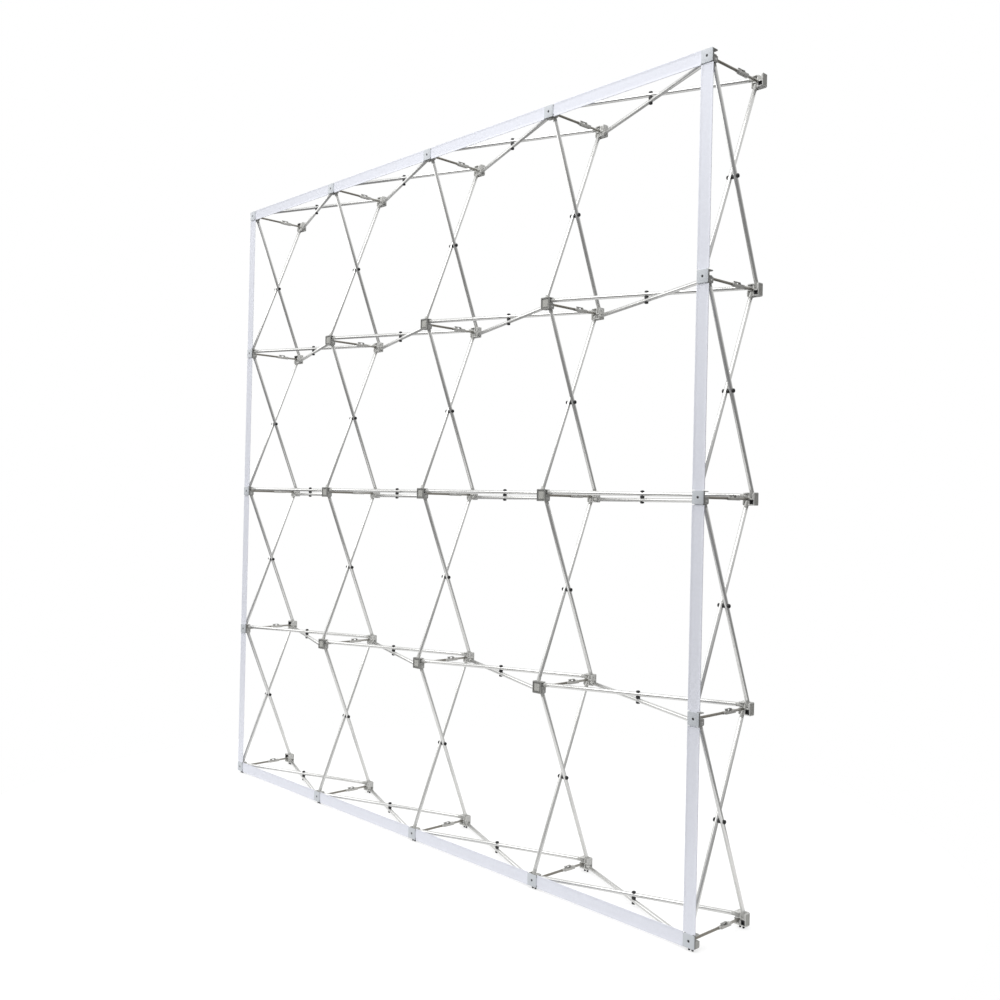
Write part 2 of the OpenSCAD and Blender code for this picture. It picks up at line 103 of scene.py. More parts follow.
CATCH_BACK = 186 * MM
SLEEVE_R = 6 * MM
SLEEVE_LEN = 10 * MM
HOOK_HALF = 2.5 * MM
FORK_HALF_H = 4.5 * MM
PIN_R = 2 * MM
HOOK_REACH = 28 * MM
HOOK_PLAY = 0.3 * MM
LEVER_UP = 2.5 * MM
HOUSING_BORE = 10 * MM
HOUSING_WALL = 1.5 * MM
HOUSING_BLOCK = 13 * MM
ARCH_UP = 10 * MM
LIP_LEN = 4 * MM
BAND_W = 50 * MM
BAND_T = 2 * MM
TONGUE_HALF = 14 * MM
TONGUE_GRIP = 8 * MM
CLAMP_T = 3 * MM
SCREW_R = 2.5 * MM
SCREW_HEAD_R = 4.5 * MM
SCREW_RECESS = 1.8 * MM
FOOT_R = 4 * MM
FOOT_H = 13 * MM
FOOT_SPREAD = 14 * MM
FIT = 0.05 * MM
SLOT_PLAY = 0.25 * MM
BARREL_R = 4 * MM
LEVER_HALF = 4.7 * MM
ROD_SEAT = 12 * MM

HALF_SPAN = BAYS * PITCH / 2
BAR_OFF = BAR_R + BAR_GAP / 2
BAR_RUN_X = PITCH - 2 * RIVET_OUT
BAR_RUN_Y = FRAME_DEPTH - 2 * RIVET_BACK
BAR_LEN = hypot(BAR_RUN_X, BAR_RUN_Y)
BAR_ANGLE = atan2(BAR_RUN_Y, BAR_RUN_X)
CAP_FACE = BAR_OFF + BAR_R + CAP_T
SLOT_IN = BAR_OFF - BAR_R - SLOT_PLAY
SLOT_OUT = BAR_OFF + BAR_R + SLOT_PLAY
EAR_OUT = SLOT_OUT + EAR_T
BOSS_R = ROD_R + 1.15 * MM
SOCKET_FLOOR = HUB_DEEP - ROD_SOCKET
END_CAP_IN = max(HUB_HALF, EAR_OUT + RIVET_HEAD_T + FIT)
END_CAP_OUT = END_CAP_IN + END_CAP_T
END_RECESS_FLOOR = END_CAP_OUT - END_PAD_T - PAD_PLAY
MID_HEIGHT = EAR_OUT + FOOT_H + HALF_SPAN
BAND_FRONT = -BAND_T
CLAMP_FRONT = BAND_FRONT - CLAMP_T
BAND_START = max(HUB_HALF, BAND_W / 2) + 0.5 * MM
FACE_Y = -(FRAME_DEPTH + CLAMP_FRONT) / 2
FORK_HALF = HOUSING_BORE / 2 - 0.2 * MM
FORK_SLOT = HOOK_HALF + 0.2 * MM
FORK_FRONT = CATCH_BACK - PIN_R - 10 * MM
FORK_BACK = CATCH_BACK + PIN_R + 4 * MM
FORK_BRIDGE = 3 * MM
LEVER_Y = CATCH_BACK + HOOK_REACH
HOUSING_LOW = -FORK_HALF_H - 0.5 * MM - HOUSING_WALL
HOUSING_TOP = ROD_R + 1.25 * MM
HOUSING_FRONT = FORK_FRONT + 2 * MM
BLOCK_FRONT = LEVER_Y + BARREL_R + 1.5 * MM
STUD_CLEAR = FOOT_R + RIVET_HEAD_R + 0.3 * MM
FOOT_BACK = RIVET_BACK - sqrt(STUD_CLEAR**2 - (RIVET_OUT - FOOT_SPREAD / 2) ** 2)
HOUSING_BACK = BLOCK_FRONT + HOUSING_BLOCK
CHEEK_FRONT = LEVER_Y - BARREL_R - 1 * MM

# How far the edge of a moulding is rounded, and how far a cutter runs past what it cuts
EASE = 0.4 * MM
OVER = 1 * MM
# A face counts as facing an axis when this much of its normal, or more, lies along it
SQUARE_ON = 0.9

X, Y, Z = (1, 0, 0), (0, 1, 0), (0, 0, 1)


# ---- places ----


def column_x(column):
    return -HALF_SPAN + (column - 1) * PITCH


def row_z(row):
    return MID_HEIGHT + HALF_SPAN - (row - 1) * PITCH


def quarter_turn(turn):
    return Matrix.Rotation(radians(turn), 4, "Y")


def at_front(row, column):
    return Matrix.Translation((column_x(column), FACE_Y, row_z(row)))


def at_rear(row, column):
    place = Matrix.Translation((column_x(column), FACE_Y + FRAME_DEPTH, row_z(row)))
    return place @ Matrix.Rotation(pi, 4, "Z")


def in_row(row):
    return Matrix.Translation((0, FACE_Y, row_z(row)))


def in_column(column):
    """A column is a row turned about Y, so its left end comes to the top."""
    return Matrix.Translation((column_x(column), FACE_Y, MID_HEIGHT)) @ quarter_turn(90)


def bars_along(line):
    """The bar places of a row or column, each with X along the bar from its front rivet."""
    for bay in range(BAYS):
        left = -HALF_SPAN + bay * PITCH
        for side, start, turn in (
            (1, left + RIVET_OUT, BAR_ANGLE),
            (-1, left + PITCH - RIVET_OUT, pi - BAR_ANGLE),
        ):
            rivet = Matrix.Translation((start, RIVET_BACK, side * BAR_OFF))
            yield line @ rivet @ Matrix.Rotation(turn, 4, "Z")


def crossings_along(line):
    for bay in range(BAYS):
        middle = -HALF_SPAN + (bay + 0.5) * PITCH
        yield line @ Matrix.Translation((middle, FRAME_DEPTH / 2, 0))


def every_line():
    for number in LINES:
        yield in_row(number)
        yield in_column(number)


HUBS = [(row, column) for row in LINES for column in LINES]


def on_edge(row, column):
    return row in (1, BAYS + 1) or column in (1, BAYS + 1)


def rear_ends():
    """The outer side of each rear hub in the first and the last column, with +X outwards."""
    for row in LINES:
        yield f"left_{row}", at_rear(row, 1)
        yield f"right_{row}", at_rear(row, BAYS + 1) @ quarter_turn(180)


# ---- modelling by hand ----


def deselect():
    bpy.ops.object.select_all(action="DESELECT")


def take(piece):
    """Selects one piece and nothing else."""
    deselect()
    piece.select_set(True)
    bpy.context.view_layer.objects.active = piece


def settle(piece):
    take(piece)
    bpy.ops.object.transform_apply(location=True, rotation=True, scale=True)
    return piece


def block(low, high):
    """A box between two opposite corners."""
    deselect()
    bpy.ops.mesh.primitive_cube_add(
        size=1,
        location=[(a + b) / 2 for a, b in zip(low, high)],
        scale=[b - a for a, b in zip(low, high)],
    )
    return settle(bpy.context.object)


@contextmanager
def picked(piece, kind, test):
    """Edit mode on a piece, with the faces or edges selected that pass the test."""
    take(piece)
    bpy.ops.object.mode_set(mode="EDIT")
    bpy.ops.mesh.select_mode(type=kind)
    bpy.ops.mesh.select_all(action="DESELECT")
    mesh = bmesh.from_edit_mesh(piece.data)
    if kind == "FACE":
        for face in mesh.faces:
            face.select_set(bool(test(face.calc_center_median(), face.normal)))
    else:
        for edge in mesh.edges:
            edge.select_set(bool(test(*[corner.co for corner in edge.verts])))
    bmesh.update_edit_mesh(piece.data)
    yield
    bpy.ops.object.mode_set(mode="OBJECT")


def pull(piece, test, move, taper=None):
    """Extrudes the faces that pass the test, and tapers their end about its own centre."""
    with picked(piece, "FACE", test):
        bpy.ops.mesh.extrude_region_move(TRANSFORM_OT_translate={"value": move})
        if taper:
            bpy.ops.transform.resize(value=taper)
    return piece


def slice_across(piece, point, normal):
    """Cuts a ring of edges round a piece where a plane meets it."""
    with picked(piece, "FACE", lambda mid, facing: True):
        bpy.ops.mesh.bisect(plane_co=point, plane_no=normal)
    return piece


def round_edges(piece, test, radius, segments=3):
    with picked(piece, "EDGE", test):
        bpy.ops.mesh.bevel(offset=radius, segments=segments, affect="EDGES")
    return piece


def soften(piece, radius=EASE, degrees=40):
    """Rounds every sharp edge a little, as a mould leaves it."""
    limit = radians(degrees)
    return modify(
        piece, "BEVEL", width=radius, segments=2, limit_method="ANGLE", angle_limit=limit
    )


def modify(piece, kind, **settings):
    take(piece)
    modifier = piece.modifiers.new(kind.title(), kind)
    for name, value in settings.items():
        setattr(modifier, name, value)
    bpy.ops.object.modifier_apply(modifier=modifier.name)
    return piece


def weld(piece, *others, operation="UNION"):
    """Joins other solids to a piece, or with DIFFERENCE or INTERSECT cuts it by them."""
    for other in others:
        modify(piece, "BOOLEAN", object=other, operation=operation, solver="EXACT")
        bpy.data.objects.remove(other)
    return piece


def carve(piece, *cutters):
    return weld(piece, *cutters, operation="DIFFERENCE")


def turned(profile, sides=24, axis=Z):
    """A round solid about an axis, pulled out ring by ring from (place, radius) pairs."""
    start, first = profile[0]
    deselect()
    bpy.ops.mesh.primitive_circle_add(
        vertices=sides, radius=first, fill_type="NGON", location=(0, 0, start)
    )
    piece = settle(bpy.context.object)
    bpy.ops.object.mode_set(mode="EDIT")
    bpy.ops.mesh.select_mode(type="FACE")
    bpy.ops.mesh.select_all(action="SELECT")
    for (here, wide), (there, wider) in zip(profile, profile[1:]):
        bpy.ops.mesh.extrude_region_move(
            TRANSFORM_OT_translate={"value": (0, 0, there - here)}
        )
        grow = wider / wide
        bpy.ops.transform.resize(value=(grow, grow, 1), center_override=(0, 0, there))
    bpy.ops.mesh.select_all(action="SELECT")
    bpy.ops.mesh.remove_doubles(threshold=0.001 * MM)
    bpy.ops.mesh.normals_make_consistent(inside=False)
    bpy.ops.object.mode_set(mode="OBJECT")
    if axis == Y:
        piece.data.transform(Matrix.Rotation(-pi / 2, 4, "X"))
    if axis == X:
        piece.data.transform(Matrix.Rotation(pi / 2, 4, "Y"))
    return piece


def cylinder(radius, start, end, sides, axis=Z):
    return turned([(start, radius), (end, radius)], sides, axis)


def eased_cylinder(radius, start, end, sides, axis, ease=EASE):
    """A cylinder with the rims of its ends drawn in."""
    rings = [(start, -ease), (start + ease, 0), (end - ease, 0), (end, -ease)]
    return turned([(place, radius + change) for place, change in rings], sides, axis)


def moved(piece, *place):
    piece.data.transform(Matrix.Translation(place))
    return piece


def twin(piece, place):
    """A copy with its own mesh at a place."""
    copy = bpy.data.objects.new(piece.name, piece.data.copy())
    bpy.context.collection.objects.link(copy)
    copy.data.transform(place)
    return copy


def smooth(piece, degrees=35):
    take(piece)
    bpy.ops.object.shade_smooth_by_angle(angle=radians(degrees))
    return piece


def unroll(piece):
    """Writes a round bar's UV map: turns round it in U, metres along it in V."""
    surface = piece.data.uv_layers.active or piece.data.uv_layers.new(name="UVMap")
    for face in piece.data.polygons:
        middle = atan2(face.center.z, face.center.y)
        for corner in face.loop_indices:
            point = piece.data.vertices[piece.data.loops[corner].vertex_index].co
            turn = atan2(point.z, point.y)
            turn += round((middle - turn) / tau) * tau
            surface.data[corner].uv = (turn / tau, point.x)
    return piece


def gather(pieces, name):
    """Joins pieces into one object, at the origin."""
    deselect()
    for piece in pieces:
        piece.select_set(True)
    bpy.context.view_layer.objects.active = pieces[0]
    if len(pieces) > 1:
        bpy.ops.object.join()
    pieces[0].name = name
    return pieces[0]


def dress(piece, node, slot, body="frame"):
    """Gives a piece its slot's finish, and sets it on its body in place of a node."""
    piece.data.materials.clear()
    piece.data.materials.append(FINISH[slot])
    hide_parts(node)
    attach(piece, body)


def lay_out(name, pattern, places, node, slot):
    """Copies a pattern to its places and dresses the joined copies as one piece."""
    dress(gather([twin(pattern, place) for place in places], name), node, slot)


def put_away(*patterns):
    for pattern in patterns:
        bpy.data.objects.remove(pattern)


# ---- materials ----


def feed(tree, node, inputs):
    """Gives a node's inputs, by name or number, plain values or links."""
    for name, value in inputs.items():
        if isinstance(value, bpy.types.NodeSocket):
            tree.links.new(value, node.inputs[name])
        else:
            node.inputs[name].default_value = value
    return node


def node_in(tree, kind, inputs=None, **settings):
    made = tree.nodes.new(kind)
    for name, value in settings.items():
        setattr(made, name, value)
    return feed(tree, made, inputs or {})


def maths(tree, operation, *terms):
    made = node_in(tree, "ShaderNodeMath", dict(enumerate(terms)), operation=operation)
    return made.outputs[0]


def vector_maths(tree, operation, inputs, output="Vector"):
    made = node_in(tree, "ShaderNodeVectorMath", inputs, operation=operation)
    return made.outputs[output]


def noise(tree, vector, scale, detail):
    inputs = {"Vector": vector, "Scale": scale, "Detail": detail}
    return node_in(tree, "ShaderNodeTexNoise", inputs).outputs[0]


def ramp(tree, value, start, end, low=0.0, high=1.0, **settings):
    """Climbs from low to high while the value goes from start to end."""
    inputs = {"Value": value, "From Min": start, "From Max": end, "To Min": low, "To Max": high}
    return node_in(tree, "ShaderNodeMapRange", inputs, **settings).outputs[0]


def blend(tree, amount, first, second):
    mixed = node_in(tree, "ShaderNodeMix", {"Factor": amount, "A": first, "B": second})
    return mixed.outputs[0]


def blend_colours(tree, amount, first, second):
    inputs = {0: amount, 6: first, 7: second}
    return node_in(tree, "ShaderNodeMix", inputs, data_type="RGBA").outputs[2]


def toned(tree, colour, factor):
    return vector_maths(tree, "SCALE", {0: colour, "Scale": factor})


def coordinates(tree, kind):
    return node_in(tree, "ShaderNodeTexCoord").outputs[kind]


GREY = (0.5, 0.5, 0.5, 1)


def new_group(name, inputs):
    """An empty node group that takes a Vector and the given inputs, each with its value."""
    tree = bpy.data.node_groups.new(name, "ShaderNodeTree")
    tree.interface.new_socket("Vector", in_out="INPUT", socket_type="NodeSocketVector")
    for label, value in inputs.items():
        kind = "NodeSocketColor" if isinstance(value, tuple) else "NodeSocketFloat"
        socket = tree.interface.new_socket(label, in_out="INPUT", socket_type=kind)
        socket.default_value = value
    return tree, tree.nodes.new("NodeGroupInput").outputs


def give_out(tree, results):
    """Ends a node group with the outputs that it gives, the one named Colour a colour."""
    for label in results:
        kind = "NodeSocketColor" if label == "Colour" else "NodeSocketFloat"
        tree.interface.new_socket(label, in_out="OUTPUT", socket_type=kind)
    node_in(tree, "NodeGroupOutput", results)
    return tree


def make_moulding_grain():
    """Fine texture of a spark-eroded mould, with a slower unevenness of tone and gloss."""
    tree, given = new_group(
        "moulding grain",
        {
            "Colour": GREY,
            "Grain size": 0.7 * MM,
            "Patch size": 30 * MM,
            "Tone spread": 0.25,
            "Speckle": 0.12,
        },
    )
    fine = noise(tree, given["Vector"], maths(tree, "DIVIDE", 1.0, given["Grain size"]), 2.0)
    slow = noise(tree, given["Vector"], maths(tree, "DIVIDE", 1.0, given["Patch size"]), 3.0)
    change = maths(tree, "SUBTRACT", slow, 0.5)
    factor = maths(tree, "MULTIPLY_ADD", change, given["Tone spread"], 1.0)
    speck = maths(tree, "SUBTRACT", fine, 0.5)
    factor = maths(tree, "MULTIPLY_ADD", speck, given["Speckle"], factor)
    colour = toned(tree, given["Colour"], factor)
    return give_out(tree, {"Colour": colour, "Gloss change": change, "Height": fine})


def make_rubbed_edges():
    """Paler, rubbed edges where a piece is handled, from the sharpness of its mesh."""
    tree, given = new_group(
        "rubbed edges",
        {"Colour": GREY, "Rubbed colour": GREY, "Amount": 0.5, "Patches per metre": 160.0},
    )
    flat, sharp = 0.52, 0.62
    pointiness = node_in(tree, "ShaderNodeNewGeometry").outputs["Pointiness"]
    edge = ramp(tree, pointiness, flat, sharp)
    patches = noise(tree, given["Vector"], given["Patches per metre"], 3.0)
    worn = maths(tree, "MULTIPLY", edge, patches)
    mask = maths(tree, "MULTIPLY", worn, given["Amount"])
    colour = blend_colours(tree, mask, given["Colour"], given["Rubbed colour"])
    return give_out(tree, {"Colour": colour})


def make_plain_weave():
    """Crossing threads of a woven tape that lies in the plane of its X and Y coordinates."""
    tree, given = new_group(
        "plain weave",
        {"Colour": GREY, "Thread": 1 * MM, "Slubs per metre": 90.0, "Depth of tone": 0.1},
    )
    place = node_in(tree, "ShaderNodeSeparateXYZ", {0: given["Vector"]}).outputs
    turns = maths(tree, "DIVIDE", pi, given["Thread"])
    across = maths(tree, "SINE", maths(tree, "MULTIPLY", place[0], turns))
    along = maths(tree, "SINE", maths(tree, "MULTIPLY", place[1], turns))
    height = maths(tree, "MULTIPLY_ADD", maths(tree, "MULTIPLY", across, along), 0.5, 0.5)
    slub = noise(tree, given["Vector"], given["Slubs per metre"], 3.0)
    uneven = maths(tree, "SUBTRACT", maths(tree, "ADD", height, slub), 1.0)
    factor = maths(tree, "MULTIPLY_ADD", uneven, given["Depth of tone"], 1.0)
    return give_out(tree, {"Colour": toned(tree, given["Colour"], factor), "Height": height})


def make_drawn_lines():
    """Long fine lines that a drawing die leaves along a bar, from its UV map, and a slower
    cloudiness of its tone."""
    tree, given = new_group(
        "drawn lines",
        {
            "Colour": GREY,
            "Lines per turn": 140.0,
            "Lines per metre": 5.0,
            "Clouds per metre": 22.0,
            "Tone spread": 0.25,
        },
    )
    counts = {0: given["Lines per turn"], 1: given["Lines per metre"], 2: 1.0}
    stretch = node_in(tree, "ShaderNodeCombineXYZ", counts).outputs[0]
    stretched = vector_maths(tree, "MULTIPLY", {0: given["Vector"], 1: stretch})
    lines = noise(tree, stretched, 1.0, 3.0)
    cloud = noise(tree, given["Vector"], given["Clouds per metre"], 2.0)
    change = maths(tree, "SUBTRACT", maths(tree, "ADD", lines, cloud), 1.0)
    factor = maths(tree, "MULTIPLY_ADD", change, given["Tone spread"], 1.0)
    colour = toned(tree, given["Colour"], factor)
    return give_out(tree, {"Colour": colour, "Gloss change": change, "Height": lines})


MOULDING_GRAIN = make_moulding_grain()
RUBBED_EDGES = make_rubbed_edges()
PLAIN_WEAVE = make_plain_weave()
DRAWN_LINES = make_drawn_lines()


def new_material(name):
    material = bpy.data.materials.new(name)
    material.use_nodes = True
    tree = material.node_tree
    return material, tree, tree.nodes["Principled BSDF"]


def grouped(tree, group, inputs):
    return node_in(tree, "ShaderNodeGroup", inputs, node_tree=group).outputs


def raised(tree, height, distance):
    inputs = {"Height": height, "Distance": distance}
    return node_in(tree, "ShaderNodeBump", inputs).outputs[0]


def moulded_plastic(
    name, colour, rubbed, roughness, grain=0.7 * MM, spread=0.25, worn=0.5, metallic=0.0
):
    """A moulded or plated surface with grain and rubbed edges."""
    material, tree, shader = new_material(name)
    place = coordinates(tree, "Object")
    look = {"Vector": place, "Colour": (*colour, 1), "Grain size": grain, "Tone spread": spread}
    grained = grouped(tree, MOULDING_GRAIN, look)
    wear = {"Colour": grained["Colour"], "Rubbed colour": (*rubbed, 1), "Amount": worn}
    inputs = {
        "Base Color": grouped(tree, RUBBED_EDGES, {"Vector": place, **wear})["Colour"],
        "Roughness": maths(tree, "MULTIPLY_ADD", grained["Gloss change"], 0.2, roughness),
        "Normal": raised(tree, grained["Height"], 0.06 * MM),
        "Metallic": metallic,
    }
    feed(tree, shader, inputs)
    return material


def two_tone_plastic(name, body, plate, rubbed, roughness):
    """A moulded plastic whose square plates, at the front and back of the frame, are greyer
    than the bodies behind them."""
    material = moulded_plastic(name, body, rubbed, roughness)
    tree = material.node_tree
    place = coordinates(tree, "Object")
    depth = node_in(tree, "ShaderNodeSeparateXYZ", {0: place}).outputs["Y"]
    from_middle = maths(tree, "SUBTRACT", depth, FACE_Y + FRAME_DEPTH / 2)
    plate_back = FRAME_DEPTH / 2 - PLATE_T
    on_plate = ramp(
        tree, maths(tree, "ABSOLUTE", from_middle), plate_back, plate_back + 0.3 * MM
    )
    tone = blend_colours(tree, on_plate, (*body, 1), (*plate, 1))
    for made in tree.nodes:
        if made.type == "GROUP" and made.node_tree == MOULDING_GRAIN:
            feed(tree, made, {"Colour": tone})
    return material


def drawn_metal(name, colour, roughness, metallic=1.0):
    material, tree, shader = new_material(name)
    look = {"Vector": coordinates(tree, "UV"), "Colour": (*colour, 1)}
    drawn = grouped(tree, DRAWN_LINES, look)
    inputs = {
        "Base Color": drawn["Colour"],
        "Roughness": maths(tree, "MULTIPLY_ADD", drawn["Gloss change"], 0.12, roughness),
        "Normal": raised(tree, drawn["Height"], 0.02 * MM),
        "Metallic": metallic,
    }
    feed(tree, shader, inputs)
    return material


def plated_metal(name, colour, rubbed, roughness):
    return moulded_plastic(name, colour, rubbed, roughness, 0.4 * MM, 0.2, 0.4, metallic=1.0)


def woven_cloth(name, colour, thread, roughness, sheen=0.15, tone=0.08):
    material, tree, shader = new_material(name)
    look = {"Colour": (*colour, 1), "Thread": thread, "Depth of tone": tone}
    weave = grouped(tree, PLAIN_WEAVE, {"Vector": coordinates(tree, "UV"), **look})
    inputs = {
        "Base Color": weave["Colour"],
        "Roughness": roughness,
        "Normal": raised(tree, weave["Height"], 0.15 * MM),
        "Sheen Weight": sheen,
    }
    feed(tree, shader, inputs)
    return material


# The finish of each material slot, by the slot's name
FINISH = {
    "hub_plastic": two_tone_plastic(
        "grey hub plastic", (0.36, 0.36, 0.345), (0.17, 0.17, 0.16), (0.6, 0.6, 0.58), 0.5
    ),
    # Painted light: the rear hubs and end plates take the same hub plastic painted paler,
    # standing in for the stronger light on them
    "rear_hub_plastic": two_tone_plastic(
        "hub plastic painted paler as lit", (0.62, 0.62, 0.6), (0.42, 0.42, 0.4), (0.7, 0.7, 0.68), 0.5
    ),
    "cap_plastic": moulded_plastic(
        "black plug plastic", (0.025, 0.025, 0.025), (0.1, 0.1, 0.1), 0.45
    ),
    "fitting_plastic": moulded_plastic(
        "grey fitting plastic", (0.5, 0.5, 0.48), (0.6, 0.6, 0.58), 0.5
    ),
    "bar_aluminium": drawn_metal("satin aluminium", (0.63, 0.63, 0.618), 0.28),
    "rear_rod_aluminium": drawn_metal("dull aluminium rod", (0.34, 0.33, 0.305), 0.38),
    "front_rod_dark": drawn_metal("dark anodised rod", (0.24, 0.225, 0.195), 0.42, 0.7),
    "rivet_steel": plated_metal("plated rivet steel", (0.5, 0.5, 0.49), (0.7, 0.7, 0.7), 0.35),
    "screw_steel": plated_metal("dark screw steel", (0.06, 0.06, 0.062), (0.3, 0.3, 0.3), 0.4),
    "pivot_rivet_black": plated_metal(
        "blackened rivet", (0.02, 0.02, 0.02), (0.2, 0.2, 0.2), 0.45
    ),
    "washer_black": moulded_plastic(
        "black washer plastic", (0.008, 0.008, 0.009), (0.06, 0.06, 0.06), 0.45, worn=0.3
    ),
    "latch_plastic": moulded_plastic(
        "grey latch plastic", (0.5, 0.495, 0.47), (0.64, 0.64, 0.62), 0.5
    ),
    "lever_plastic": moulded_plastic(
        "grey lever plastic", (0.34, 0.34, 0.325), (0.46, 0.46, 0.45), 0.45
    ),
    "clamp_plastic": moulded_plastic(
        "pale clamp plastic", (0.52, 0.545, 0.575), (0.68, 0.69, 0.72), 0.45, spread=0.15
    ),
    "band_fabric": woven_cloth("white woven tape", (0.72, 0.735, 0.80), 1.1 * MM, 0.8),
    "pad_fabric": woven_cloth(
        "grey loop cloth", (0.38, 0.38, 0.355), 1.6 * MM, 0.95, sheen=0.3, tone=0.25
    ),
    "foot_rubber": moulded_plastic(
        "black foot rubber", (0.012, 0.012, 0.012), (0.05, 0.05, 0.05), 0.75, grain=1.2 * MM
    ),
}


# ---- hubs ----


def model_hub(standing):
    """A moulded hub: a square plate, a socket for the lock rod, and four slots between
    inner walls and ears, set round the centre like a pinwheel. Its plate faces -Y. The
    standing hub has a web below, which holds its two studs."""
    plate = block((-HUB_HALF, 0, -HUB_HALF), (HUB_HALF, PLATE_T, HUB_HALF))
    round_edges(plate, lambda a, b: abs(a.y - b.y) > PLATE_T / 2, HUB_CORNER, 4)
    # A ring of points inside the rim keeps its rubbed edge narrow.
    with picked(plate, "FACE", lambda mid, facing: facing.y < -SQUARE_ON):
        bpy.ops.mesh.inset(thickness=0.5 * MM, depth=0)
    soften(plate, 0.35 * MM, degrees=60)
    parts = [plate]
    sunk = PLATE_T / 2
    reach = HUB_HALF - 0.1 * MM
    flare_r = BOSS_R + 0.8 * MM
    boss = [
        (sunk, flare_r),
        (PLATE_T + 1 * MM, flare_r),
        (PLATE_T + 3 * MM, BOSS_R),
        (HUB_DEEP - 1 * MM, BOSS_R),
        (HUB_DEEP, BOSS_R - 0.5 * MM),
    ]
    hub = turned(boss, 32, Y)
    outer_end = lambda a, b: min(a.x, b.x) > 0 and min(a.y, b.y) > PLATE_T
    for turn in range(0, 360, 90):
        for low, deep, high, corner, segments in (
            (-SLOT_IN, HUB_WALL_DEEP, SLOT_IN, 4 * MM, 4),
            (SLOT_OUT, HUB_DEEP, EAR_OUT, 6 * MM, 5),
        ):
            part = block((0, sunk, low), (reach, deep, high))
            round_edges(part, outer_end, corner, segments)
            soften(part, degrees=60)
            part.data.transform(quarter_turn(turn))
            parts.append(part)
    if standing:
        web = block((0, sunk, -EAR_OUT), (EAR_OUT - 1 * MM, HUB_DEEP - 0.1 * MM, -SLOT_OUT))
        parts.append(soften(web, degrees=60))
    weld(hub, *parts)
    half = RECESS_HALF
    recess = block((-half, -OVER, -half), (half, RECESS_DEEP, half))
    round_edges(recess, lambda a, b: abs(a.y - b.y) > RECESS_DEEP, PAD_CORNER, 2)
    round_edges(recess, lambda a, b: min(a.y, b.y) > 0, 0.3 * MM, 1)
    socket = cylinder(ROD_R + FIT, SOCKET_FLOOR, HUB_DEEP + OVER, 24, Y)
    screw_hole = cylinder(SCREW_R + FIT, 0, SOCKET_FLOOR + OVER, 20, Y)
    carve(hub, recess, socket, screw_hole)
    return smooth(hub, 32)


hub = model_hub(standing=False)
standing_hub = model_hub(standing=True)
for row in LINES:
    pattern = standing_hub if row == BAYS + 1 else hub
    for side, place, slot in (
        ("front", at_front, "hub_plastic"),
        ("rear", at_rear, "rear_hub_plastic"),
    ):
        places = [place(row, column) for column in LINES]
        node = f"{side}_hubs_row_{row}"
        lay_out(f"moulded_{node}", pattern, places, node, slot)
put_away(hub, standing_hub)


def model_end_plate():
    """A plate that lies on the outer side of a rear hub, with a recess for its pad. It
    faces +X."""
    corners = lambda a, b: abs(a.x - b.x) > OVER / 2
    plate = block((END_CAP_IN, 0, -HUB_HALF), (END_CAP_OUT, HUB_DEEP, HUB_HALF))
    round_edges(plate, corners, END_CAP_CORNER, 5)
    soften(plate, 0.35 * MM, degrees=60)
    half_high = HUB_HALF - END_PAD_RIM
    recess = block(
        (END_RECESS_FLOOR, END_PAD_RIM, -half_high),
        (END_CAP_OUT + OVER, HUB_DEEP - END_PAD_RIM, half_high),
    )
    round_edges(recess, corners, PAD_CORNER, 3)
    carve(plate, recess)
    return smooth(plate)


def model_end_plug():
    """A plug behind an end plate, in the hub's empty slot, with a hollow in its front end
    and a bore for the rivet that holds it."""
    wall = 1.6 * MM
    low = (BOSS_R + PLUG_PLAY, PLATE_T, SLOT_IN + SLOT_PLAY)
    high = (END_CAP_IN, HUB_DEEP - END_PLUG_BACK, SLOT_OUT - SLOT_PLAY)
    plug = soften(block(low, high))
    hollow = block(
        (low[0] + wall, RIVET_BACK + RIVET_R + wall, low[2] + wall),
        (high[0] - wall, HUB_DEEP, high[2] - wall),
    )
    bore = moved(cylinder(RIVET_R + FIT, -OVER, EAR_OUT, 16), RIVET_OUT, RIVET_BACK, 0)
    carve(plug, soften(hollow, 0.5 * MM), bore)
    return smooth(plug)


end_plate, end_plug = model_end_plate(), model_end_plug()
end_places = [place for _, place in rear_ends()]
# The end plates take the rear hubs' paler copy of the hub plastic, which is painted light
lay_out("moulded_end_plates", end_plate, end_places, "end_caps", "rear_hub_plastic")
lay_out("moulded_end_plugs", end_plug, end_places, "end_caps", "cap_plastic")
put_away(end_plate, end_plug)


# ---- bars ----


def model_bar_tube():
    """A drawn tube along X, open at both ends, with its rims drawn in a little."""
    rim = 0.6 * MM
    deselect()
    bpy.ops.mesh.primitive_cylinder_add(
        vertices=28,
        radius=BAR_R,
        depth=BAR_LEN - 2 * FITTING_REACH,
        end_fill_type="NOTHING",
        location=(BAR_LEN / 2, 0, 0),
        rotation=(0, pi / 2, 0),
    )
    tube = settle(bpy.context.object)
    for end, inwards in ((FITTING_REACH, 1), (BAR_LEN - FITTING_REACH, -1)):
        slice_across(tube, (end + inwards * rim, 0, 0), X)
        at_end = lambda a, b: max(abs(a.x - end), abs(b.x - end)) < rim / 2
        with picked(tube, "EDGE", at_end):
            bpy.ops.transform.resize(value=(1, 0.97, 0.97), center_override=(end, 0, 0))
    modify(tube, "SOLIDIFY", thickness=BAR_WALL, offset=-1.0)
    unroll(tube)
    return smooth(tube, 50)


